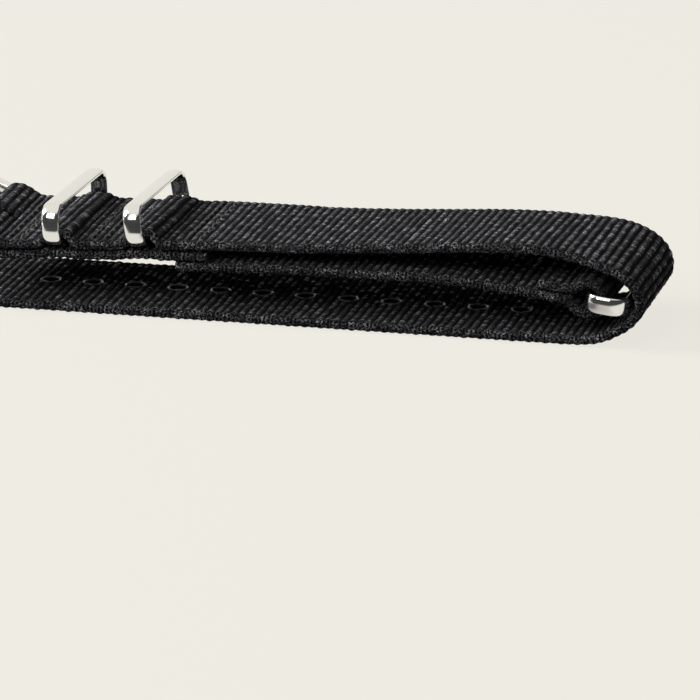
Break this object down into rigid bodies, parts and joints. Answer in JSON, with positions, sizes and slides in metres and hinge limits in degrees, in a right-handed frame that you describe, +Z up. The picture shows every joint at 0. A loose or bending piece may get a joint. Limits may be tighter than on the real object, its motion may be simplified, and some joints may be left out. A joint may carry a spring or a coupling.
{
  "type": "nylon watch strap",
  "caption": "Pull-through nylon webbing watch strap lying folded, with a steel buckle, steel keepers and a ring on a short sewn flap.",
  "frame": {"origin": "middle of the bounding box, on the surface the strap lies on", "axes": "+X along the strap towards the fold, +Y across the webbing, +Z up from the surface"},
  "size_m": [0.1854, 0.0242, 0.015],
  "materials": {
    "webbing": "ribbed woven nylon",
    "thread": "bonded polyester thread",
    "steel": "polished stainless steel"
  },
  "bodies": {
    "lower_run": {"strap_tail": "webbing", "strap_bend": "webbing"},
    "upper_run": {"strap_upper": "webbing", "buckle_fold": "webbing", "keeper_pocket_1": "webbing", "pocket_bridge": "webbing", "keeper_pocket_2": "webbing", "strap_return_end": "webbing", "fold_stitches": "thread", "bridge_stitches": "thread", "root_stitches": "thread", "flap_root": "webbing"},
    "buckle": {"buckle_frame": "steel", "buckle_bar": "steel"},
    "tongue": {"buckle_tongue": "steel"},
    "keeper_1": {"keeper_1": "steel"},
    "keeper_2": {"keeper_2": "steel"},
    "flap": {"flap_web": "webbing", "flap_ring_fold": "webbing", "flap_stitches": "thread"},
    "flap_ring": {"flap_ring": "steel"}
  },
  "joints": [
    {"name": "fold_open", "type": "hinge", "parent": "lower_run", "child": "upper_run", "pos_m": [0.09212, 0, 0.00545], "axis": [0, 1, 0], "range_deg": [0, 80], "deforming": ["strap_bend"]},
    {"name": "buckle_turn", "type": "hinge", "parent": "upper_run", "child": "buckle", "pos_m": [0.01095, 0, 0.00802], "axis": [0, 1, 0], "range_deg": [-45, 45]},
    {"name": "tongue_lift", "type": "hinge", "parent": "buckle", "child": "tongue", "pos_m": [0.01095, 0, 0.00802], "axis": [0, 1, 0], "range_deg": [0, 60]},
    {"name": "keeper_1_rock", "type": "hinge", "parent": "upper_run", "child": "keeper_1", "pos_m": [0.02105, 0, 0.00833], "axis": [0, 1, 0], "range_deg": [-35, 35], "stiffness_Nm_per_rad": 0.002, "deforming": ["keeper_pocket_1"]},
    {"name": "keeper_2_rock", "type": "hinge", "parent": "upper_run", "child": "keeper_2", "pos_m": [0.03154, 0, 0.00881], "axis": [0, 1, 0], "range_deg": [-28, 42], "stiffness_Nm_per_rad": 0.002, "deforming": ["keeper_pocket_2"]},
    {"name": "flap_swing", "type": "hinge", "parent": "upper_run", "child": "flap", "pos_m": [0.04024, 0, 0.00665], "axis": [0, 1, 0], "range_deg": [-0.4, 0.6], "stiffness_Nm_per_rad": 0.06, "springref_deg": -0.63},
    {"name": "ring_turn", "type": "hinge", "parent": "flap", "child": "flap_ring", "pos_m": [0.08588, 0, 0.0056], "axis": [0, 1, 0], "range_deg": [-10, 7]}
  ]
}
